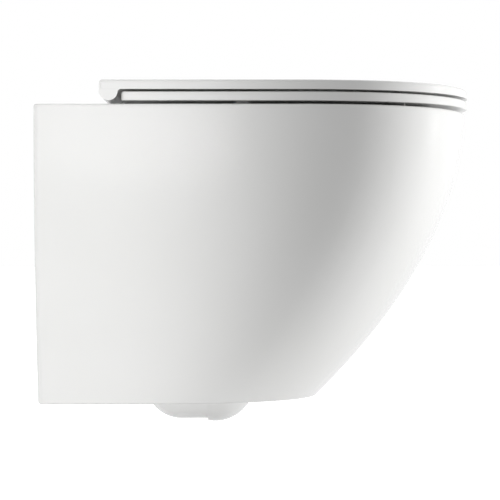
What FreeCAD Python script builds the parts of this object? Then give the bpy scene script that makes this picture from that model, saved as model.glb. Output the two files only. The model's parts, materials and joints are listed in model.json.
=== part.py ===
import FreeCAD, Part
import math
import os

from FreeCAD import Vector

os.makedirs("parts", exist_ok=True)

# Frame: the origin lies on the wall, midway between the two wall studs.
# +X points out of the wall towards the nose and +Z points up. The outside is the same on
# both sides of Y = 0, and "left" means negative Y. Every length is in millimetres.

# ---- working values, which no piece shows ----
OVER = 1.0                   # how far a cut runs past the face it leaves by
FAR = 20.0                   # the same, where nothing else is near
LAP = 0.5                    # how far two forms of one piece run into each other
TOUCH = 0.01                 # an edge this close to a plane lies on it
AROUND = 2.0                 # edges are looked for this far round the curve they follow

# ---- sizes of the ceramic pan ----
PAN_LENGTH = 490.0
PAN_WIDTH = 360.0
RIM_HEIGHT = 80.0            # rim above the wall studs
SKIRT_DEPTH = 332.0          # rim to the lower edge of the skirt
NOSE_SETBACK = 176.4         # how far the nose runs back at the skirt's lower edge
NOSE_LEAN = 0.075            # share of that run which is a straight slope
SIDE_SETBACK = 46.0          # how far each side draws in at the skirt's lower edge
TURN_LENGTH = 206.0          # nose to the place where the straight sides begin
NOSE_FULLNESS = 0.864        # handle length along the side, as a share of TURN_LENGTH
NOSE_ROUNDNESS = 0.24        # handle length at the nose tip, as a share of the half width
SHELL_WALL = 11.0            # ceramic wall of the skirt
DECK_THICKNESS = 20.0        # ceramic under the flat rim and the hinge deck
BULKHEAD = 16.0              # upright ceramic wall against the room wall
RIM_RADIUS = 3.0
SKIRT_EDGE_RADIUS = 3.0
BACK_CORNER_RADIUS = 6.0
MOUTH_RADIUS = 6.0           # rounding of the rim into the bowl
ARCH_DROP = 112.0            # rim to the top of the opening in the back
ARCH_RIB = 17.0              # ceramic left beside that opening
ARCH_BEND = 45.0             # size of its rounded corners
ARCH_SWELL = 2.0             # how far those corners bulge
HOLLOW_PAST = 6.0            # the hollow is drawn on below the skirt's lower edge

# ---- bowl ----
RIM_AT_NOSE = 43.0           # width of the flat rim at the nose
RIM_AT_SIDE = 44.0
BOWL_REAR = 128.0            # mouth of the bowl in the rim, measured from the wall
BOWL_NOSE = PAN_LENGTH - RIM_AT_NOSE
BOWL_MIDDLE = 285.0
BOWL_HALF = PAN_WIDTH / 2 - RIM_AT_SIDE
LEDGE_DEPTH = 60.0           # rim to the ledge that guides the flush water
LEDGE_WIDTH = 12.0
BOWL_WALL = 11.0
CIRCLE_HANDLE = 0.5523       # handle share that makes a quarter curve round

# ---- trapway ----
OUTLET_DROP = 100.0          # outlet centre below the wall studs
TRAP_BORE = 35.0             # inner radius of the trapway
TRAP_SKIN = 9.0
WELL_BORE = 38.0             # inner radius of the well under the bowl
WELL_SKIN = 9.2
TRAP_BOTTOM = 362.8          # rim to the lowest point of the well
WELL_X = 195.5
REAR_BEND_X = 156.0
KNEE_X = 88.0
WELL_SEAM_X = 187.0          # the joint line that shows on the bulge
WELL_TILT = 62.0             # degrees above level, towards the bowl
WELL_TOP = 80.0              # well centre to the top of its straight part
WELL_BLEND = 12.0            # how far its passage is cut on into the bowl
WELL_STEP = 3.0              # how much smaller the lowest ring of the bowl is
BOWL_REACH = 66.0            # well centre to the lowest ring of the bowl
SPIGOT_RADIUS = 51.0
SPIGOT_WALL = 9.0
SPIGOT_BACK = 26.0           # spigot face in front of the wall
SPIGOT_FRONT = 62.0

# ---- flush inlet ----
INLET_RISE = 35.0            # inlet centre above the wall studs
HORN_BORE = 27.5             # at the inner end of the horn
HORN_TAPER = 0.4             # how much wider its mouth is
HORN_WALL = 10.5
HORN_BACK = 1.0              # its rim in front of the wall
HORN_DEPTH = 50.0
DUCT_BORE = 14.0
DUCT_WALL = 10.0
DUCT_PAST = 8.0              # how far the duct is cut on into the bowl
SEAL_GRIP = 0.1              # how much thinner the seal is than the horn
PIPE_RADIUS = 22.5
SEAL_START = 3.0
SEAL_LENGTH = 34.0
SEAL_GROOVES = 3
GROOVE_WIDTH = 3.0
GROOVE_DEPTH = 1.6

# ---- wall studs ----
STUD_SPACING = 180.0
STUD_HOLE = 10.0             # radius of the ceramic hole
SLEEVE_BORE = 6.5
SLEEVE_GAP = 0.4
SLEEVE_FLANGE = 15.0
FLANGE_THICKNESS = 3.0
WASHER_RADIUS = 14.0
WASHER_THICKNESS = 2.5
NUT_ACROSS = 19.0
NUT_HEIGHT = 10.0
NUT_BORE = 6.02
NUT_CORNER = 0.62            # radius of its turned corners, as a share of its width
NUT_CHAMFER = 2.5

# ---- seat and lid ----
COVER_OVERHANG = 3.0         # seat and lid beyond the nose of the pan
COVER_NOSE = PAN_LENGTH + COVER_OVERHANG
COVER_WIDTH = PAN_WIDTH
SEAT_GAP = 3.4               # rim to seat
SEAT_THICKNESS = 10.0
LID_GAP = 2.5                # seat to lid
LID_THICKNESS = 10.6
SEAT_REAR = 96.0
SEAT_CORNER = 6.0
LID_REAR = 71.8
LID_CORNER = 3.0
HOLE_REAR = BOWL_REAR + 24.0         # opening of the seat
HOLE_NOSE = BOWL_NOSE - 23.0
HOLE_MIDDLE = BOWL_MIDDLE
HOLE_HALF = BOWL_HALF - 28.0
HOLE_ROUNDNESS = 0.35
AXIS_X = 82.0
AXIS_RISE = 13.7             # hinge axis above the rim
ROLL_RADIUS = 10.2
ROLL_FILLET = 4.0
ROLL_INSET = 0.6             # roll end behind the lid's side
LID_EDGE_RADIUS = 3.5
SEAT_EDGE_RADIUS = 2.5
UNDER_EDGE_RADIUS = 1.5
SEAT_LIP_RADIUS = 5.0
HINGE_SPACING = 155.0

# ---- hinge parts ----
POST_WIDTH = 15.6
POST_DEPTH = 15.0
POST_HEAD = 8.3
GASKET_THICKNESS = 0.7
GASKET_RADIUS = 16.0
NOTCH_GAP = 0.8              # post to lid, each side
NOTCH_FRONT = 1.5            # post to lid, in front
LUG_GAP = 0.7                # post to seat lug
LUG_WIDTH = 44.0
LUG_RADIUS = 8.6
LUG_POCKET_GAP = 0.5
LUG_ROOT = 6.0               # how far the lug runs into the seat
LUG_CEILING = 0.2            # how far the slot under the lid rises past the axis
SHAFT_RADIUS = 3.0
BORE_FIT = 0.02              # shaft fixed in a post
RUNNING_FIT = 0.05           # shaft turning in a bush
SNUG_FIT = 0.1               # rubber sleeve in its hole and round its stud
LOOSE_FIT = 0.2              # washer or gasket round its stud
BUSH_RADIUS = 5.0
BUSH_LENGTH = 20.0
DAMPER_RADIUS = 6.5
DAMPER_WALL = 1.2
DAMPER_LENGTH = 40.0
DAMPER_END = 2.0
DAMPER_POCKET = 40.6
BUSH_POCKET = 20.6
RECESS = 0.3                 # mouth of a damper or bush, behind the face of its bore
CAP_THICKNESS = 3.0
ROTOR_RADIUS = 3.8
VANE_GAP = 0.1
VANE_WIDTH = 1.6
RIB_ROOT = 0.4               # how far the rib runs into the housing
DECK_HOLE = 8.0
HINGE_STUD_RADIUS = 3.0
HINGE_STUD_LENGTH = 52.0
HINGE_STUD_IN_POST = 9.0
HINGE_WASHER_RADIUS = 12.0
HINGE_WASHER_THICKNESS = 2.0
HINGE_NUT_ACROSS = 10.0
HINGE_NUT_HEIGHT = 5.0
SET_SCREW_RADIUS = 2.0
SET_SCREW_LENGTH = 4.6
SOCKET_ACROSS = 2.0
SOCKET_DEPTH = 2.2

# ---- buffers ----
REAR_BUFFER_X = 228.0
REAR_BUFFER_INSET = 22.0     # behind the seat's side
FRONT_BUFFER_SETBACK = 93.0  # behind the nose
FRONT_BUFFER_INSET = 52.0
REAR_BUFFER_Y = COVER_WIDTH / 2 - REAR_BUFFER_INSET
FRONT_BUFFER_X = COVER_NOSE - FRONT_BUFFER_SETBACK
FRONT_BUFFER_Y = COVER_WIDTH / 2 - FRONT_BUFFER_INSET
BUFFER_LENGTH = 20.0
BUFFER_WIDTH = 8.0
BUFFER_SUNK = 2.0
BUFFER_FREE = 0.1            # air left under a buffer
LID_BUFFER_RADIUS = 5.0
BUFFER_SOFTNESS = 0.8

AXIS_Z = RIM_HEIGHT + AXIS_RISE
SEAT_BOTTOM = RIM_HEIGHT + SEAT_GAP
SEAT_TOP = SEAT_BOTTOM + SEAT_THICKNESS
LID_BOTTOM = SEAT_TOP + LID_GAP
LID_TOP = LID_BOTTOM + LID_THICKNESS
HINGE_Y = HINGE_SPACING / 2
POST_INNER = HINGE_Y - POST_WIDTH / 2
POST_OUTER = HINGE_Y + POST_WIDTH / 2
LUG_OUTER = POST_INNER - LUG_GAP
LUG_INNER = LUG_OUTER - LUG_WIDTH
TRAP_OUTER = TRAP_BORE + TRAP_SKIN
WELL_OUTER = WELL_BORE + WELL_SKIN
WELL_Z = RIM_HEIGHT - TRAP_BOTTOM + WELL_OUTER
LEFT = -1.0
RIGHT = 1.0


def cylinder(radius, start, direction, length):
    return Part.makeCylinder(radius, length, start, direction)


def along_y(radius, y_from, y_to, x=AXIS_X, z=AXIS_Z):
    low, high = sorted((y_from, y_to))
    return cylinder(radius, Vector(x, low, z), Vector(0, 1, 0), high - low)


def along_x(radius, x_from, x_to, y, z):
    return cylinder(radius, Vector(x_from, y, z), Vector(1, 0, 0), x_to - x_from)


def upright(radius, z_from, z_to, x, y):
    return cylinder(radius, Vector(x, y, z_from), Vector(0, 0, 1), z_to - z_from)


def block(x_from, x_to, y_from, y_to, z_from, z_to):
    low, high = sorted((y_from, y_to))
    corner = Vector(x_from, low, z_from)
    return Part.makeBox(x_to - x_from, high - low, z_to - z_from, corner)


def hexagon(across, start, direction, height):
    """A hexagonal prism, like a nut without its hole."""
    prism = Part.makePolygon([
        Vector(across / math.sqrt(3) * math.cos(math.radians(60 * i)),
               across / math.sqrt(3) * math.sin(math.radians(60 * i)), 0)
        for i in range(7)])
    solid = Part.Face(prism).extrude(Vector(0, 0, height))
    solid.Placement = FreeCAD.Placement(start, FreeCAD.Rotation(Vector(0, 0, 1), direction))
    return solid


def bezier(*poles):
    curve = Part.BezierCurve()
    curve.setPoles([Vector(*pole) for pole in poles])
    return curve.toShape()


def both_sides(make):
    """The same piece on the left and on the right, as one shape."""
    return Part.makeCompound([make(LEFT), make(RIGHT)])


def edges_where(shape, test):
    """Edges whose every sample point passes the test."""
    chosen = []
    for edge in shape.Edges:
        points = edge.discretize(5)
        if all(test(point) for point in points):
            chosen.append(edge)
    return chosen


# ---------------------------------------------------------------- outlines

def nose_at(depth):
    share = depth / SKIRT_DEPTH
    return PAN_LENGTH - NOSE_SETBACK * (NOSE_LEAN * share + (1 - NOSE_LEAN) * share ** 2)


def half_width_at(depth):
    return PAN_WIDTH / 2 - SIDE_SETBACK * (depth / SKIRT_DEPTH) ** 2


def nosed_outline(z, rear, nose, half):
    """Straight back and sides, and a nose made of two mirrored curves."""
    turn = nose - TURN_LENGTH
    reach = turn + NOSE_FULLNESS * TURN_LENGTH
    tip = NOSE_ROUNDNESS * half
    return Part.Wire([
        Part.makeLine(Vector(rear, half, z), Vector(rear, -half, z)),
        Part.makeLine(Vector(rear, -half, z), Vector(turn, -half, z)),
        bezier((turn, -half, z), (reach, -half, z), (nose, -tip, z), (nose, 0, z)),
        bezier((nose, 0, z), (nose, tip, z), (reach, half, z), (turn, half, z)),
        Part.makeLine(Vector(turn, half, z), Vector(rear, half, z)),
    ])


def egg_outline(z, rear, middle, nose, half, roundness=1.0):
    """A closed oval. Roundness 1 is an ellipse, and a smaller value points the nose."""
    back = middle - CIRCLE_HANDLE * (middle - rear)
    side = CIRCLE_HANDLE * half
    ease = CIRCLE_HANDLE + (1 - roundness) * (NOSE_FULLNESS - CIRCLE_HANDLE)
    front = middle + ease * (nose - middle)
    tip = half * (CIRCLE_HANDLE + (1 - roundness) * (NOSE_ROUNDNESS - CIRCLE_HANDLE))
    return Part.Wire([
        bezier((rear, 0, z), (rear, -side, z), (back, -half, z), (middle, -half, z)),
        bezier((middle, -half, z), (front, -half, z), (nose, -tip, z), (nose, 0, z)),
        bezier((nose, 0, z), (nose, tip, z), (front, half, z), (middle, half, z)),
        bezier((middle, half, z), (back, half, z), (rear, side, z), (rear, 0, z)),
    ])


def loft(wires):
    return Part.makeLoft(wires, True, False)


# ---------------------------------------------------------------- the pan

def pan_outside():
    """The outer form: one smooth skin from the rim to the lower edge of the skirt."""
    steps = 4
    rings = []
    for i in range(steps):
        depth = SKIRT_DEPTH * i / (steps - 1)
        rings.append(nosed_outline(RIM_HEIGHT - depth, -FAR,
                                   nose_at(depth), half_width_at(depth)))
    low = RIM_HEIGHT - SKIRT_DEPTH
    behind_wall = block(-FAR - OVER, 0, -PAN_WIDTH, PAN_WIDTH, low - OVER, RIM_HEIGHT + OVER)
    body = loft(rings).cut(behind_wall)
    narrow = half_width_at(SKIRT_DEPTH) - AROUND
    back_corners = edges_where(body, lambda p: p.x < TOUCH and abs(p.y) > narrow)
    body = body.makeFillet(BACK_CORNER_RADIUS, back_corners)
    bottom = edges_where(body, lambda p: p.z < low + TOUCH)
    body = body.makeFillet(SKIRT_EDGE_RADIUS, bottom)
    top = edges_where(body, lambda p: p.z > RIM_HEIGHT - TOUCH)
    return body.makeFillet(RIM_RADIUS, top)


def pan_hollow():
    """The space inside the skirt, open below, and open behind under the bulkhead."""
    rings = []
    steps = 4
    top = DECK_THICKNESS
    bottom = SKIRT_DEPTH + HOLLOW_PAST
    for i in range(steps):
        depth = top + (bottom - top) * i / (steps - 1)
        rings.append(nosed_outline(RIM_HEIGHT - depth, BULKHEAD,
                                   nose_at(depth) - SHELL_WALL,
                                   half_width_at(depth) - SHELL_WALL))
    return loft(rings)


def rear_opening():
    """The arched opening in the back, round the spigot and down to the skirt's edge."""
    arch_top = RIM_HEIGHT - ARCH_DROP
    low = RIM_HEIGHT - SKIRT_DEPTH - HOLLOW_PAST
    upper = half_width_at(ARCH_DROP) - ARCH_RIB
    lower = half_width_at(SKIRT_DEPTH) - ARCH_RIB
    bend = ARCH_BEND
    swell = upper + ARCH_SWELL
    back = -OVER
    outline = Part.Wire([
        Part.makeLine(Vector(back, -lower, low), Vector(back, lower, low)),
        Part.makeLine(Vector(back, lower, low), Vector(back, upper, arch_top - bend)),
        bezier((back, upper, arch_top - bend), (back, swell, arch_top),
               (back, swell, arch_top), (back, upper - bend, arch_top)),
        Part.makeLine(Vector(back, upper - bend, arch_top), Vector(back, bend - upper, arch_top)),
        bezier((back, bend - upper, arch_top), (back, -swell, arch_top),
               (back, -swell, arch_top), (back, -upper, arch_top - bend)),
        Part.makeLine(Vector(back, -upper, arch_top - bend), Vector(back, -lower, low)),
    ])
    return Part.Face(outline).extrude(Vector(BULKHEAD + 3 * OVER, 0, 0))


def well_direction():
    tilt = math.radians(WELL_TILT)
    return Vector(math.cos(tilt), 0, math.sin(tilt))


def bowl_rings(wall, end_radius, top_z):
    """Rings from the ledge down into the well; wall adds the ceramic round the hollow."""
    way = well_direction()
    mouth_x = WELL_X + BOWL_REACH * way.x
    mouth_z = WELL_Z + BOWL_REACH * way.z
    mouth_reach = end_radius / way.z
    rear = BOWL_REAR + LEDGE_WIDTH - wall
    nose = BOWL_NOSE - LEDGE_WIDTH + wall
    half = BOWL_HALF - LEDGE_WIDTH + wall
    rings = []
    for share, back, front, width in ((0.0, 0.0, 0.0, 0.0), (0.36, 0.30, 0.22, 0.26),
                                      (0.70, 0.68, 0.60, 0.62), (1.0, 1.0, 1.0, 1.0)):
        ring_rear = rear + back * (mouth_x - mouth_reach - rear)
        ring_nose = nose + front * (mouth_x + mouth_reach - nose)
        ring_half = half + width * (end_radius - half)
        ring_middle = BOWL_MIDDLE + share * (mouth_x - BOWL_MIDDLE)
        ring_z = top_z + share * (mouth_z - top_z)
        rings.append(egg_outline(ring_z, ring_rear, ring_middle, ring_nose, ring_half, share))
    return rings


def bowl_space():
    """The hollow of the bowl: the straight mouth, the ledge and the smooth lower bowl."""
    ledge_z = RIM_HEIGHT - LEDGE_DEPTH
    mouth = loft([
        egg_outline(RIM_HEIGHT + OVER, BOWL_REAR, BOWL_MIDDLE, BOWL_NOSE, BOWL_HALF, 0.0),
        egg_outline(ledge_z, BOWL_REAR, BOWL_MIDDLE, BOWL_NOSE, BOWL_HALF, 0.0)])
    lower = loft(bowl_rings(0.0, WELL_BORE - WELL_STEP, ledge_z + LAP))
    return mouth.fuse(lower)


def bowl_body():
    """The ceramic round the bowl, before its hollow is cut."""
    ledge_z = RIM_HEIGHT - LEDGE_DEPTH
    collar_z = ledge_z - BOWL_WALL
    collar = loft([
        egg_outline(RIM_HEIGHT - DECK_THICKNESS / 2, BOWL_REAR - BOWL_WALL, BOWL_MIDDLE,
                    BOWL_NOSE + BOWL_WALL, BOWL_HALF + BOWL_WALL, 0.0),
        egg_outline(collar_z, BOWL_REAR - BOWL_WALL, BOWL_MIDDLE,
                    BOWL_NOSE + BOWL_WALL, BOWL_HALF + BOWL_WALL, 0.0)])
    return collar.fuse(loft(bowl_rings(BOWL_WALL, WELL_OUTER - WELL_STEP, ledge_z - 2 * LAP)))


def trap_run(bore, well, spigot_far, spigot_near, spigot_radius):
    """The trapway from the well to the spigot. It makes the skin and, thinner, the passage."""
    level = -OUTLET_DROP
    bend = Vector(REAR_BEND_X, 0, WELL_Z)
    knee = Vector(KNEE_X, 0, level)
    middle = Vector(WELL_X, 0, WELL_Z)
    rise = knee - bend
    pieces = [
        Part.makeSphere(bore, bend),
        cylinder(bore, bend, Vector(1, 0, 0), WELL_X - REAR_BEND_X),
        cylinder(bore, bend, rise, rise.Length),
        Part.makeSphere(bore, knee),
        Part.makeCone(spigot_radius, bore, KNEE_X - SPIGOT_FRONT,
                      Vector(SPIGOT_FRONT, 0, level), Vector(1, 0, 0)),
        along_x(spigot_radius, spigot_far, spigot_near, 0, level),
    ]
    front = [Part.makeSphere(well, middle), cylinder(well, middle, well_direction(), WELL_TOP)]
    return pieces, front


def fused(shapes):
    return shapes[0].multiFuse(shapes[1:])


def trap_skin():
    rear, front = trap_run(TRAP_OUTER, WELL_OUTER, SPIGOT_BACK, SPIGOT_FRONT, SPIGOT_RADIUS)
    seam_side = block(WELL_SEAM_X, PAN_LENGTH, -PAN_WIDTH, PAN_WIDTH, -TRAP_BOTTOM, 0)
    return fused(rear + [fused(front).common(seam_side)])


def trap_passage():
    rear, front = trap_run(TRAP_BORE, WELL_BORE, SPIGOT_BACK - OVER, SPIGOT_FRONT,
                           SPIGOT_RADIUS - SPIGOT_WALL)
    way = well_direction()
    start = Vector(WELL_X, 0, WELL_Z)
    reach = cylinder(WELL_BORE, start, way, WELL_TOP + WELL_BLEND)
    return fused(rear + front + [reach])


def inlet_body():
    horn = along_x(HORN_BORE + HORN_WALL, HORN_BACK, HORN_DEPTH + DUCT_WALL, 0, INLET_RISE)
    duct = along_x(DUCT_BORE + DUCT_WALL, HORN_DEPTH, BOWL_REAR - 4 * LAP, 0, INLET_RISE)
    return horn.fuse(duct)


def horn_cone(x_from, x_to, thinner):
    """A plug with the slight taper of the horn's bore."""
    def radius_at(x):
        return HORN_BORE + HORN_TAPER * (HORN_DEPTH - x) / HORN_DEPTH - thinner
    return Part.makeCone(radius_at(x_from), radius_at(x_to), x_to - x_from,
                         Vector(x_from, 0, INLET_RISE), Vector(1, 0, 0))


def inlet_space():
    horn = horn_cone(-OVER, HORN_DEPTH, 0)
    duct = along_x(DUCT_BORE, HORN_DEPTH - OVER, BOWL_REAR + DUCT_PAST, 0, INLET_RISE)
    return horn.fuse(duct)


def pan():
    """One ceramic casting."""
    solid = pan_outside().cut(pan_hollow()).cut(rear_opening())
    for addition in (bowl_body(), trap_skin(), inlet_body()):
        solid = solid.fuse(addition)
    for hollow in (bowl_space(), trap_passage(), inlet_space()):
        solid = solid.cut(hollow)
    for side in (LEFT, RIGHT):
        stud_hole = along_x(STUD_HOLE, -OVER, BULKHEAD + OVER, side * STUD_SPACING / 2, 0)
        deck_hole = upright(DECK_HOLE, RIM_HEIGHT - DECK_THICKNESS - OVER, RIM_HEIGHT + OVER,
                            AXIS_X, side * HINGE_Y)
        solid = solid.cut(stud_hole).cut(deck_hole)
    return solid.makeFillet(MOUTH_RADIUS, mouth_edges(solid))


def mouth_edges(solid):
    """The four curves where the bowl's wall meets the flat rim."""
    return [edge for edge in solid.Edges
            if edge.BoundBox.ZMin > RIM_HEIGHT - TOUCH
            and edge.BoundBox.XMin > BOWL_REAR - AROUND
            and edge.BoundBox.YMax < BOWL_HALF + AROUND
            and edge.BoundBox.YMin > -BOWL_HALF - AROUND]


# ---------------------------------------------------------------- wall fixings and seal

def inlet_seal():
    """A grooved collar that fills the horn round the flush pipe."""
    seal_end = SEAL_START + SEAL_LENGTH
    bore = along_x(PIPE_RADIUS, SEAL_START - OVER, seal_end + OVER, 0, INLET_RISE)
    ring = horn_cone(SEAL_START, seal_end, SEAL_GRIP).cut(bore)
    for i in range(SEAL_GROOVES):
        middle = SEAL_START + SEAL_LENGTH * (i + 1) / (SEAL_GROOVES + 1)
        low, high = middle - GROOVE_WIDTH / 2, middle + GROOVE_WIDTH / 2
        groove = along_x(HORN_BORE + HORN_WALL, low, high, 0, INLET_RISE)
        core = along_x(HORN_BORE - GROOVE_DEPTH, low - OVER, high + OVER, 0, INLET_RISE)
        ring = ring.cut(groove.cut(core))
    return ring


def fixing_sleeves():
    def sleeve(side):
        y = side * STUD_SPACING / 2
        tube = along_x(STUD_HOLE - SLEEVE_GAP, 0, BULKHEAD, y, 0)
        flange = along_x(SLEEVE_FLANGE, BULKHEAD, BULKHEAD + FLANGE_THICKNESS, y, 0)
        return tube.fuse(flange).cut(along_x(SLEEVE_BORE, -OVER, BULKHEAD + FAR, y, 0))
    return both_sides(sleeve)


def fixing_washers():
    start = BULKHEAD + FLANGE_THICKNESS

    def washer(side):
        y = side * STUD_SPACING / 2
        disc = along_x(WASHER_RADIUS, start, start + WASHER_THICKNESS, y, 0)
        return disc.cut(along_x(SLEEVE_BORE, start - OVER, start + FAR, y, 0))
    return both_sides(washer)


def fixing_nuts():
    start = BULKHEAD + FLANGE_THICKNESS + WASHER_THICKNESS

    def nut(side):
        base = Vector(start, side * STUD_SPACING / 2, 0)
        body = hexagon(NUT_ACROSS, base, Vector(1, 0, 0), NUT_HEIGHT)
        tip = start + NUT_HEIGHT
        corner = NUT_ACROSS * NUT_CORNER
        cone = Part.makeCone(corner, NUT_ACROSS / 2, NUT_CHAMFER,
                             Vector(tip - NUT_CHAMFER, base.y, 0), Vector(1, 0, 0))
        keep = cone.fuse(along_x(corner, start - OVER, tip - NUT_CHAMFER, base.y, 0))
        return body.common(keep).cut(along_x(NUT_BORE, start - OVER, tip + OVER, base.y, 0))
    return both_sides(nut)


# ---------------------------------------------------------------- seat and lid

def cover_outline(z, rear):
    """The outline that seat and lid share, from the given rear edge to the nose."""
    return nosed_outline(z, rear, COVER_NOSE, COVER_WIDTH / 2)


def plate(rear, corner, z_from, z_to):
    body = Part.Face(cover_outline(z_from, rear)).extrude(Vector(0, 0, z_to - z_from))
    side = COVER_WIDTH / 2 - TOUCH
    corners = edges_where(body, lambda p: p.x < rear + TOUCH and abs(p.y) > side)
    return body.makeFillet(corner, corners)


def seat():
    """The ring, its two hinge lugs, and the pockets for damper, bush and buffers."""
    ring = plate(SEAT_REAR, SEAT_CORNER, SEAT_BOTTOM, SEAT_TOP)
    ring = ring.makeFillet(SEAT_EDGE_RADIUS, edges_where(ring, lambda p: p.z > SEAT_TOP - TOUCH))
    ring = ring.makeFillet(UNDER_EDGE_RADIUS,
                           edges_where(ring, lambda p: p.z < SEAT_BOTTOM + TOUCH))
    opening = Part.Face(egg_outline(SEAT_BOTTOM - OVER, HOLE_REAR, HOLE_MIDDLE, HOLE_NOSE,
                                    HOLE_HALF, HOLE_ROUNDNESS))
    ring = ring.cut(opening.extrude(Vector(0, 0, SEAT_THICKNESS + 2 * OVER)))
    lip = [edge for edge in ring.Edges
           if edge.BoundBox.ZMin > SEAT_TOP - TOUCH
           and edge.BoundBox.XMin > HOLE_REAR - AROUND
           and edge.BoundBox.YMax < HOLE_HALF + AROUND
           and edge.BoundBox.YMin > -HOLE_HALF - AROUND]
    ring = ring.makeFillet(SEAT_LIP_RADIUS, lip)
    for side in (LEFT, RIGHT):
        inner = side * LUG_INNER
        outer = side * LUG_OUTER
        barrel = along_y(LUG_RADIUS, inner, outer)
        arm = block(AXIS_X, SEAT_REAR + LUG_ROOT, inner, outer, AXIS_Z - LUG_RADIUS, SEAT_TOP)
        ring = ring.fuse(barrel).fuse(arm)
    ring = ring.cut(along_y(DAMPER_RADIUS + BORE_FIT, LUG_OUTER + OVER,
                            LUG_OUTER - DAMPER_POCKET))
    ring = ring.cut(along_y(BUSH_RADIUS + BORE_FIT, -LUG_OUTER - OVER,
                            -LUG_OUTER + BUSH_POCKET))
    for pocket in seat_buffer_shapes(SEAT_BOTTOM - OVER, SEAT_BOTTOM + BUFFER_SUNK, BORE_FIT):
        ring = ring.cut(pocket)
    return ring.removeSplitter()


def roll_profile():
    """The lid's rolled rear edge, seen from the side, drawn round the hinge axis."""
    rear = LID_REAR - AXIS_X
    top = LID_TOP - AXIS_Z
    under = LID_BOTTOM - AXIS_Z
    fillet_z = under - ROLL_FILLET
    reach = ROLL_RADIUS + ROLL_FILLET
    fillet_x = math.sqrt(reach ** 2 - fillet_z ** 2)
    centre = Vector(fillet_x, 0, fillet_z)
    meet = centre * (ROLL_RADIUS / reach)
    into = Vector(fillet_x, 0, under)
    towards = ((meet - centre) + (into - centre)).normalize()
    return Part.Wire([
        Part.makeLine(Vector(into.x, 0, top), Vector(rear, 0, top)),
        Part.makeLine(Vector(rear, 0, top), Vector(rear, 0, 0)),
        Part.Arc(Vector(rear, 0, 0), Vector(0, 0, rear), meet).toShape(),
        Part.Arc(meet, centre + towards * ROLL_FILLET, into).toShape(),
        Part.makeLine(into, Vector(into.x, 0, top)),
    ])


def lid_roll():
    half = COVER_WIDTH / 2 - ROLL_INSET
    profile = Part.Face(roll_profile())
    profile.translate(Vector(AXIS_X, -half, AXIS_Z))
    roll = profile.extrude(Vector(0, 2 * half, 0))
    keep = block(LID_REAR - OVER, AXIS_X + FAR, -half - OVER, half + OVER,
                 AXIS_Z - FAR, LID_TOP - LID_EDGE_RADIUS)
    return roll.common(keep)


def lid():
    """The cover, its rolled rear edge, and the room for posts, lugs, damper and bush."""
    cover = plate(LID_REAR, LID_CORNER, LID_BOTTOM, LID_TOP)
    cover = cover.makeFillet(LID_EDGE_RADIUS, edges_where(cover, lambda p: p.z > LID_TOP - TOUCH))
    cover = cover.fuse(lid_roll())
    pocket_radius = LUG_RADIUS + LUG_POCKET_GAP
    for side in (LEFT, RIGHT):
        notch = block(LID_REAR - OVER, AXIS_X + POST_DEPTH / 2 + NOTCH_FRONT,
                      side * (POST_INNER - NOTCH_GAP), side * (POST_OUTER + NOTCH_GAP),
                      AXIS_Z - FAR, LID_TOP + OVER)
        inner = side * (LUG_INNER - LUG_POCKET_GAP)
        outer = side * (POST_INNER - NOTCH_GAP + LAP)
        pocket = along_y(pocket_radius, inner, outer)
        slot = block(LID_REAR - OVER, AXIS_X + 2 * FAR, inner, outer,
                     AXIS_Z - FAR, AXIS_Z + LUG_CEILING)
        shelf = block(LID_REAR - OVER, AXIS_X, inner, outer, AXIS_Z - OVER,
                      AXIS_Z + pocket_radius)
        cover = cover.cut(notch).cut(pocket).cut(slot).cut(shelf)
        cover = cover.cut(upright(LID_BUFFER_RADIUS + BORE_FIT, LID_BOTTOM - OVER,
                                  LID_BOTTOM + BUFFER_SUNK, FRONT_BUFFER_X,
                                  side * FRONT_BUFFER_Y))
    roll_face = POST_OUTER + NOTCH_GAP
    cover = cover.cut(along_y(DAMPER_RADIUS + BORE_FIT, OVER - roll_face,
                              -roll_face - DAMPER_POCKET))
    cover = cover.cut(along_y(BUSH_RADIUS + BORE_FIT, roll_face - OVER,
                              roll_face + BUSH_POCKET))
    return cover.removeSplitter()


def rounded_bar(x, y, z_from, z_to, extra):
    """A block with half-round ends, laid along X."""
    radius = BUFFER_WIDTH / 2 + extra
    reach = (BUFFER_LENGTH - BUFFER_WIDTH) / 2
    bar = block(x - reach, x + reach, y - radius, y + radius, z_from, z_to)
    for end in (x - reach, x + reach):
        bar = bar.fuse(upright(radius, z_from, z_to, end, y))
    return bar.removeSplitter()


def seat_buffer_shapes(z_from, z_to, extra):
    shapes = []
    for x, y in ((REAR_BUFFER_X, REAR_BUFFER_Y), (FRONT_BUFFER_X, FRONT_BUFFER_Y)):
        for side in (LEFT, RIGHT):
            shapes.append(rounded_bar(x, side * y, z_from, z_to, extra))
    return shapes


def soft_foot(body):
    """Round the lowest edges of a buffer."""
    low = body.BoundBox.ZMin + TOUCH
    return body.makeFillet(BUFFER_SOFTNESS, [e for e in body.Edges if e.BoundBox.ZMax < low])


def seat_buffers():
    bars = seat_buffer_shapes(RIM_HEIGHT + BUFFER_FREE, SEAT_BOTTOM + BUFFER_SUNK, 0.0)
    return Part.makeCompound([soft_foot(bar) for bar in bars])


def lid_buffers():
    return both_sides(lambda side: soft_foot(
        upright(LID_BUFFER_RADIUS, SEAT_TOP + BUFFER_FREE, LID_BOTTOM + BUFFER_SUNK,
                FRONT_BUFFER_X, side * FRONT_BUFFER_Y)))


# ---------------------------------------------------------------- hinges

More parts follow.
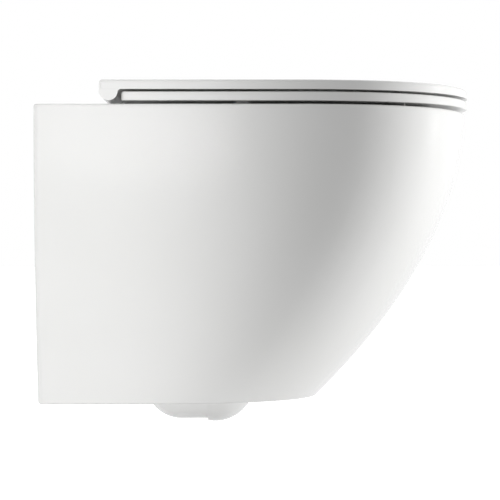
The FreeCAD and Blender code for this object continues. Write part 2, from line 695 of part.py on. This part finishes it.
def hinge_post(side):
    """A square post on the deck, with a round head bored for its shaft."""
    inner = side * POST_INNER
    outer = side * POST_OUTER
    base = RIM_HEIGHT + GASKET_THICKNESS
    stem = block(AXIS_X - POST_DEPTH / 2, AXIS_X + POST_DEPTH / 2, inner, outer, base, AXIS_Z)
    post = stem.fuse(along_y(POST_HEAD, inner, outer))
    post = post.cut(along_y(SHAFT_RADIUS + BORE_FIT, inner - OVER * side, outer + OVER * side))
    post = post.cut(upright(HINGE_STUD_RADIUS + BORE_FIT, base - OVER,
                            base + HINGE_STUD_IN_POST, AXIS_X, side * HINGE_Y))
    return post.cut(along_x(SET_SCREW_RADIUS + BORE_FIT, AXIS_X - POST_HEAD - OVER,
                            AXIS_X - SHAFT_RADIUS + OVER, side * HINGE_Y, AXIS_Z))


def post_screws():
    """Set screws behind the posts, each with a hexagonal socket."""
    tip = AXIS_X - SHAFT_RADIUS - BORE_FIT

    def screw(side):
        start = tip - SET_SCREW_LENGTH
        body = along_x(SET_SCREW_RADIUS, start, tip, side * HINGE_Y, AXIS_Z)
        socket = hexagon(SOCKET_ACROSS, Vector(start - OVER, side * HINGE_Y, AXIS_Z),
                         Vector(1, 0, 0), SOCKET_DEPTH + OVER)
        return body.cut(socket)
    return both_sides(screw)


def hinge_gaskets():
    def gasket(side):
        y = side * HINGE_Y
        disc = upright(GASKET_RADIUS, RIM_HEIGHT, RIM_HEIGHT + GASKET_THICKNESS, AXIS_X, y)
        return disc.cut(upright(HINGE_STUD_RADIUS + LOOSE_FIT, RIM_HEIGHT - OVER,
                                RIM_HEIGHT + GASKET_THICKNESS + OVER, AXIS_X, y))
    return both_sides(gasket)


def hinge_studs():
    top = RIM_HEIGHT + GASKET_THICKNESS + HINGE_STUD_IN_POST
    return both_sides(lambda side: upright(HINGE_STUD_RADIUS, top - HINGE_STUD_LENGTH, top,
                                           AXIS_X, side * HINGE_Y))


def hinge_sleeves():
    low = RIM_HEIGHT - DECK_THICKNESS

    def sleeve(side):
        y = side * HINGE_Y
        tube = upright(DECK_HOLE - SNUG_FIT, low, RIM_HEIGHT, AXIS_X, y)
        return tube.cut(upright(HINGE_STUD_RADIUS + SNUG_FIT, low - OVER, RIM_HEIGHT + OVER,
                                AXIS_X, y))
    return both_sides(sleeve)


def hinge_washers():
    high = RIM_HEIGHT - DECK_THICKNESS

    def washer(side):
        y = side * HINGE_Y
        disc = upright(HINGE_WASHER_RADIUS, high - HINGE_WASHER_THICKNESS, high, AXIS_X, y)
        return disc.cut(upright(HINGE_STUD_RADIUS + LOOSE_FIT, high - FAR, high + OVER,
                                AXIS_X, y))
    return both_sides(washer)


def hinge_nuts():
    high = RIM_HEIGHT - DECK_THICKNESS - HINGE_WASHER_THICKNESS

    def nut(side):
        base = Vector(AXIS_X, side * HINGE_Y, high - HINGE_NUT_HEIGHT)
        body = hexagon(HINGE_NUT_ACROSS, base, Vector(0, 0, 1), HINGE_NUT_HEIGHT)
        return body.cut(upright(HINGE_STUD_RADIUS + BORE_FIT, base.z - OVER, high + OVER,
                                AXIS_X, side * HINGE_Y))
    return both_sides(nut)


# ---------------------------------------------------------------- dampers and bushes

def damper_housing(mouth, way):
    """A closed tube with one inner rib. The mouth faces its post; way leads into the cover."""
    far = mouth + way * DAMPER_LENGTH
    tube = along_y(DAMPER_RADIUS, mouth, far)
    inner = DAMPER_RADIUS - DAMPER_WALL
    tube = tube.cut(along_y(inner, mouth - way * OVER, far - way * DAMPER_END))
    rib = block(AXIS_X - inner - RIB_ROOT, AXIS_X - ROTOR_RADIUS - VANE_GAP,
                mouth + way * (CAP_THICKNESS + VANE_GAP), far - way * DAMPER_END / 2,
                AXIS_Z - VANE_WIDTH / 2, AXIS_Z + VANE_WIDTH / 2)
    return tube.fuse(rib)


def damper_cap(mouth, way):
    ring = along_y(DAMPER_RADIUS - DAMPER_WALL - BORE_FIT, mouth, mouth + way * CAP_THICKNESS)
    return ring.cut(along_y(SHAFT_RADIUS + RUNNING_FIT, mouth - way * OVER,
                            mouth + way * (CAP_THICKNESS + OVER)))


def damper_shaft(mouth, way, journal_end):
    """A shaft from its journal, through the post, to a rotor with one vane."""
    rotor_from = mouth + way * (CAP_THICKNESS + VANE_GAP)
    rotor_to = mouth + way * (DAMPER_LENGTH - DAMPER_END - VANE_GAP)
    shaft = along_y(SHAFT_RADIUS, journal_end, rotor_from)
    rotor = along_y(ROTOR_RADIUS, rotor_from, rotor_to)
    reach = DAMPER_RADIUS - DAMPER_WALL - 2 * VANE_GAP
    vane = block(AXIS_X - VANE_WIDTH / 2, AXIS_X + VANE_WIDTH / 2, rotor_from, rotor_to,
                 AXIS_Z, AXIS_Z + reach)
    return shaft.fuse(rotor).fuse(vane)


def bush(mouth, way):
    tube = along_y(BUSH_RADIUS, mouth, mouth + way * BUSH_LENGTH)
    return tube.cut(along_y(SHAFT_RADIUS + RUNNING_FIT, mouth - way * OVER,
                            mouth + way * (BUSH_LENGTH + OVER)))


# ---------------------------------------------------------------- every piece

LID_DAMPER_MOUTH = -(POST_OUTER + NOTCH_GAP + RECESS)
SEAT_DAMPER_MOUTH = LUG_OUTER - RECESS
SEAT_BUSH_MOUTH = -(LUG_OUTER - RECESS)
LID_BUSH_MOUTH = POST_OUTER + NOTCH_GAP + RECESS

PIECES = {
    "pan": pan,
    "inlet_seal": inlet_seal,
    "fixing_sleeves": fixing_sleeves,
    "fixing_washers": fixing_washers,
    "fixing_nuts": fixing_nuts,
    "seat": seat,
    "seat_buffers": seat_buffers,
    "lid": lid,
    "lid_buffers": lid_buffers,
    "hinge_post_left": lambda: hinge_post(LEFT),
    "hinge_post_right": lambda: hinge_post(RIGHT),
    "hinge_gaskets": hinge_gaskets,
    "hinge_studs": hinge_studs,
    "hinge_sleeves": hinge_sleeves,
    "hinge_washers": hinge_washers,
    "hinge_nuts": hinge_nuts,
    "post_screws": post_screws,
    "lid_damper_housing": lambda: damper_housing(LID_DAMPER_MOUTH, -1),
    "lid_damper_shaft": lambda: damper_shaft(LID_DAMPER_MOUTH, -1,
                                             SEAT_BUSH_MOUTH + BUSH_LENGTH),
    "lid_damper_cap": lambda: damper_cap(LID_DAMPER_MOUTH, -1),
    "seat_damper_housing": lambda: damper_housing(SEAT_DAMPER_MOUTH, -1),
    "seat_damper_shaft": lambda: damper_shaft(SEAT_DAMPER_MOUTH, -1,
                                              LID_BUSH_MOUTH + BUSH_LENGTH),
    "seat_damper_cap": lambda: damper_cap(SEAT_DAMPER_MOUTH, -1),
    "seat_bush": lambda: bush(SEAT_BUSH_MOUTH, 1),
    "lid_bush": lambda: bush(LID_BUSH_MOUTH, 1),
}

for name, make in PIECES.items():
    make().exportStep("parts/" + name + ".step")
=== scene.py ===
import json
import math

import bpy
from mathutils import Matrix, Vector


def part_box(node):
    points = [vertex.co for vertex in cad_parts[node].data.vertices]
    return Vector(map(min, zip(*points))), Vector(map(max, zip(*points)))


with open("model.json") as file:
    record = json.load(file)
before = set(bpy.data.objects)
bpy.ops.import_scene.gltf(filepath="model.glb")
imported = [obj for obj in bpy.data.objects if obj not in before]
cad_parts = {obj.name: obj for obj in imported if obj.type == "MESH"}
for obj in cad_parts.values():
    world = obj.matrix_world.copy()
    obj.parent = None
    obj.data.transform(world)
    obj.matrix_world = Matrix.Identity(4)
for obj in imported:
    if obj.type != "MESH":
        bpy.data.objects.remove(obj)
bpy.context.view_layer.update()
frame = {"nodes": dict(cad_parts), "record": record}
scene = bpy.context.scene
nodes = frame["nodes"]

# Lengths are in metres, apart from the camera's lens and sensor.
MICRON = 0.000001

RIM_HEIGHT = 0.400           # rim of the pan above the floor
FLOOR_SIZE = 30.0
FLOOR_MIDDLE = (0.25, 0)
FLOOR_GLOW = 0.85

CAMERA_PLACE = (0.2366, -2.233, -0.0688)
CAMERA_REACH = 50.0
FOCAL_LENGTH_MM = 135.65
SENSOR_WIDTH_MM = 36.0
FRAMING_SHIFT = -0.02        # share of the picture's width

BACKDROP = 1.0               # the surroundings as the camera and the gloss see them
AMBIENT = 0.384              # the surroundings as they light a matt surface
SIDE_AIM = (0.018, -0.17, -0.13)
NOSE_AIM = (0.45, -0.30, -0.10)

WHITE = (1, 1, 1, 1)
CHINA_WHITE = (0.84, 0.84, 0.83)
CHINA_SHADE = (0.835, 0.835, 0.822)
TINT_START = 0.35            # stretch of a noise over which a tint changes
TINT_END = 0.65
ROUGH_START = 0.3            # stretch of a noise over which a roughness changes
ROUGH_END = 0.7


# ---------------------------------------------------------------- material helpers

class Recipe:
    """A node material built step by step on one Principled shader."""

    def __init__(self, name, colour, roughness):
        self.material = bpy.data.materials.new(name)
        self.material.use_nodes = True
        self.tree = self.material.node_tree
        self.tree.nodes.clear()
        output = self.add("ShaderNodeOutputMaterial")
        self.shader = self.add("ShaderNodeBsdfPrincipled")
        self.link(self.shader.outputs[0], output.inputs[0])
        self.set(Base_Color=(*colour, 1), Roughness=roughness)
        self.place = self.add("ShaderNodeTexCoord")

    def add(self, kind):
        return self.tree.nodes.new(kind)

    def link(self, source, target):
        self.tree.links.new(source, target)

    def set(self, **values):
        """Set sockets of the shader; Coat_Weight stands for the socket Coat Weight."""
        for key, value in values.items():
            self.shader.inputs[key.replace("_", " ")].default_value = value

    def noise(self, per_metre, detail=2.0, stretch=None):
        """Noise in the object's own space, with so many features per metre."""
        node = self.add("ShaderNodeTexNoise")
        node.inputs["Scale"].default_value = per_metre
        node.inputs["Detail"].default_value = detail
        place = self.place.outputs["Object"]
        if stretch:
            mapping = self.add("ShaderNodeMapping")
            mapping.inputs["Scale"].default_value = stretch
            self.link(place, mapping.inputs["Vector"])
            place = mapping.outputs["Vector"]
        self.link(place, node.inputs["Vector"])
        return node.outputs["Fac"]

    def tint(self, source, first, second):
        """Base colour that drifts between two close tones."""
        ramp = self.add("ShaderNodeValToRGB")
        start, end = ramp.color_ramp.elements
        start.position = TINT_START
        start.color = (*first, 1)
        end.position = TINT_END
        end.color = (*second, 1)
        self.link(source, ramp.inputs["Fac"])
        self.link(ramp.outputs["Color"], self.shader.inputs["Base Color"])

    def rough(self, source, low, high):
        """Roughness that drifts between two values."""
        node = self.add("ShaderNodeMapRange")
        node.inputs["From Min"].default_value = ROUGH_START
        node.inputs["From Max"].default_value = ROUGH_END
        node.inputs["To Min"].default_value = low
        node.inputs["To Max"].default_value = high
        self.link(source, node.inputs["Value"])
        self.link(node.outputs["Result"], self.shader.inputs["Roughness"])

    def bump(self, source, relief, over=None):
        """Relief of so many metres, on its own or over a broader one."""
        node = self.add("ShaderNodeBump")
        node.inputs["Distance"].default_value = relief
        self.link(source, node.inputs["Height"])
        if over:
            self.link(over.outputs["Normal"], node.inputs["Normal"])
        self.link(node.outputs["Normal"], self.shader.inputs["Normal"])
        return node


# ---------------------------------------------------------------- materials

def glaze():
    """Fired white glaze: a clear gloss over faint broad waves and a very fine grain."""
    recipe = Recipe("glazed ceramic", CHINA_WHITE, roughness=0.10)
    recipe.set(IOR=1.52, Coat_Weight=0.35, Coat_Roughness=0.03)
    recipe.tint(recipe.noise(7.0), first=CHINA_SHADE, second=(0.852, 0.852, 0.842))
    recipe.rough(recipe.noise(60.0, detail=3.0), low=0.09, high=0.14)
    waves = recipe.bump(recipe.noise(26.0, detail=1.0), relief=60 * MICRON)
    recipe.bump(recipe.noise(420.0), relief=4 * MICRON, over=waves)
    return recipe.material


def moulded_white():
    """Pressed plastic of the seat and lid: a touch softer in gloss than the glaze."""
    recipe = Recipe("moulded white", CHINA_WHITE, roughness=0.16)
    recipe.set(IOR=1.50, Coat_Weight=0.15, Coat_Roughness=0.06)
    recipe.tint(recipe.noise(9.0), first=CHINA_SHADE, second=(0.848, 0.848, 0.838))
    recipe.rough(recipe.noise(90.0, detail=3.0), low=0.13, high=0.19)
    recipe.bump(recipe.noise(300.0), relief=8 * MICRON)
    return recipe.material


def soft_rubber(name, first, second, roughness, transmission=0.0, subsurface=0.0):
    """Moulded rubber with a fine matt grain."""
    spread = 0.06
    recipe = Recipe(name, first, roughness)
    recipe.set(IOR=1.49, Transmission_Weight=transmission, Subsurface_Weight=subsurface)
    recipe.tint(recipe.noise(160.0), first, second)
    recipe.rough(recipe.noise(500.0, detail=3.0), low=roughness - spread, high=roughness + spread)
    recipe.bump(recipe.noise(1500.0), relief=20 * MICRON)
    return recipe.material


def moulded_grey():
    """Moulded plastic of the bushes, damper housings, gaskets and fixing sleeves."""
    recipe = Recipe("grey moulded plastic", (0.42, 0.43, 0.44), roughness=0.45)
    recipe.tint(recipe.noise(80.0), first=(0.41, 0.42, 0.43), second=(0.44, 0.45, 0.46))
    recipe.rough(recipe.noise(900.0), low=0.4, high=0.52)
    recipe.bump(recipe.noise(2500.0), relief=20 * MICRON)
    return recipe.material


def metal(name, colour, roughness, grain, relief, stretch=None):
    """Metal whose grain, in features per metre, shows in its gloss and its relief."""
    shade = 0.94
    spread = 0.3
    recipe = Recipe(name, colour, roughness)
    recipe.set(Metallic=1.0)
    recipe.tint(recipe.noise(120.0), first=tuple(shade * c for c in colour), second=colour)
    lines = recipe.noise(grain, detail=3.0, stretch=stretch)
    recipe.rough(lines, low=roughness * (1 - spread), high=roughness * (1 + spread))
    recipe.bump(lines, relief)
    return recipe.material


def pale_floor():
    recipe = Recipe("pale floor", (0.9, 0.9, 0.9), roughness=0.6)
    recipe.tint(recipe.noise(1.5), first=(0.60, 0.60, 0.60), second=(0.62, 0.62, 0.62))
    recipe.set(Emission_Color=WHITE, Emission_Strength=FLOOR_GLOW)
    return recipe.material


LOOKS = {
    "ceramic": glaze(),
    "cover_white": moulded_white(),
    # painted shade: the clear rubber buffers sit deep in the gap under the seat, and their colour
    # is painted far darker than clear rubber to stand in for the shade of that gap
    "clear_rubber": soft_rubber("clear soft rubber darkened as painted shade", (0.12, 0.12, 0.116), (0.15, 0.15, 0.145),
                                roughness=0.35, transmission=0.35, subsurface=0.1),
    "black_rubber": soft_rubber("black rubber", (0.018, 0.018, 0.018), (0.03, 0.03, 0.03),
                                roughness=0.6),
    "grey_plastic": moulded_grey(),
    "polished": metal("polished chrome", (0.80, 0.81, 0.82), roughness=0.08,
                      grain=200.0, relief=3 * MICRON),
    "steel": metal("plated steel", (0.52, 0.52, 0.53), roughness=0.32,
                   grain=900.0, relief=20 * MICRON, stretch=(0.1, 1.0, 1.0)),
}

for part in frame["record"]["subparts"]:
    shown = nodes[part["node"]]
    shown.data.materials.clear()
    shown.data.materials.append(LOOKS[part["material_slot"]])


# ---------------------------------------------------------------- floor, light and camera

def area_light(name, place, aim, width, height, spread, power):
    """A softbox that lights the part but shows neither in the picture nor in the gloss."""
    data = bpy.data.lights.new(name, "AREA")
    data.shape = "RECTANGLE"
    data.size = width
    data.size_y = height
    data.spread = spread
    data.energy = power
    light = bpy.data.objects.new(name, data)
    light.location = place
    light.rotation_euler = (Vector(aim) - Vector(place)).to_track_quat("-Z", "Y").to_euler()
    light.visible_camera = False
    light.visible_glossy = False
    scene.collection.objects.link(light)


def background(tree, strength):
    shader = tree.nodes.new("ShaderNodeBackground")
    shader.inputs["Color"].default_value = WHITE
    shader.inputs["Strength"].default_value = strength
    return shader.outputs[0]


def studio_world():
    """White surroundings that light matt surfaces less than they show in the gloss."""
    world = bpy.data.worlds.new("studio")
    world.use_nodes = True
    sky = world.node_tree
    sky.nodes.clear()
    path = sky.nodes.new("ShaderNodeLightPath")
    mix = sky.nodes.new("ShaderNodeMixShader")
    output = sky.nodes.new("ShaderNodeOutputWorld")
    sky.links.new(path.outputs["Is Diffuse Ray"], mix.inputs["Fac"])
    sky.links.new(background(sky, BACKDROP), mix.inputs[1])
    sky.links.new(background(sky, AMBIENT), mix.inputs[2])
    sky.links.new(mix.outputs[0], output.inputs["Surface"])
    return world


def level_camera():
    """A long lens that looks level along +Y at the part's side."""
    data = bpy.data.cameras.new("camera")
    data.sensor_width = SENSOR_WIDTH_MM
    data.lens = FOCAL_LENGTH_MM
    data.shift_y = FRAMING_SHIFT
    data.clip_end = CAMERA_REACH
    camera = bpy.data.objects.new("camera", data)
    camera.location = CAMERA_PLACE
    camera.rotation_euler = (math.radians(90), 0, 0)
    scene.collection.objects.link(camera)
    return camera


floor_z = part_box("pan")[1][2] - RIM_HEIGHT
bpy.ops.mesh.primitive_plane_add(size=FLOOR_SIZE, location=(*FLOOR_MIDDLE, floor_z))
floor = bpy.context.object
floor.name = "floor"
floor.data.materials.append(pale_floor())
floor.visible_diffuse = False
floor.visible_glossy = False
floor.visible_shadow = False

scene.world = studio_world()

area_light("side softbox", place=(0.0, -1.576, -0.16), aim=SIDE_AIM,
           width=0.416, height=1.3, spread=0.281, power=1.06)
area_light("nose softbox", place=(2.30, 0.169, -0.10), aim=NOSE_AIM,
           width=0.543, height=1.2, spread=0.5, power=1.75)
area_light("nose edge", place=(2.30, 0.35, -0.10), aim=NOSE_AIM,
           width=0.35, height=1.0, spread=0.4, power=1.40)
# the far side, the rear and the top, which the photograph doesn't show
area_light("far side softbox", place=(0.10, 1.70, -0.10), aim=(0.15, 0.17, -0.10),
           width=0.8, height=1.2, spread=1.2, power=1.0)
area_light("rear softbox", place=(-1.70, 0.60, 0.0), aim=(0.0, 0.05, -0.10),
           width=0.8, height=1.0, spread=0.8, power=1.2)
area_light("top softbox", place=(0.30, 1.20, 1.50), aim=(0.26, 0.02, 0.10),
           width=1.0, height=0.8, spread=0.8, power=1.9)

bpy.context.scene.camera = level_camera()
scene.view_settings.view_transform = "Standard"
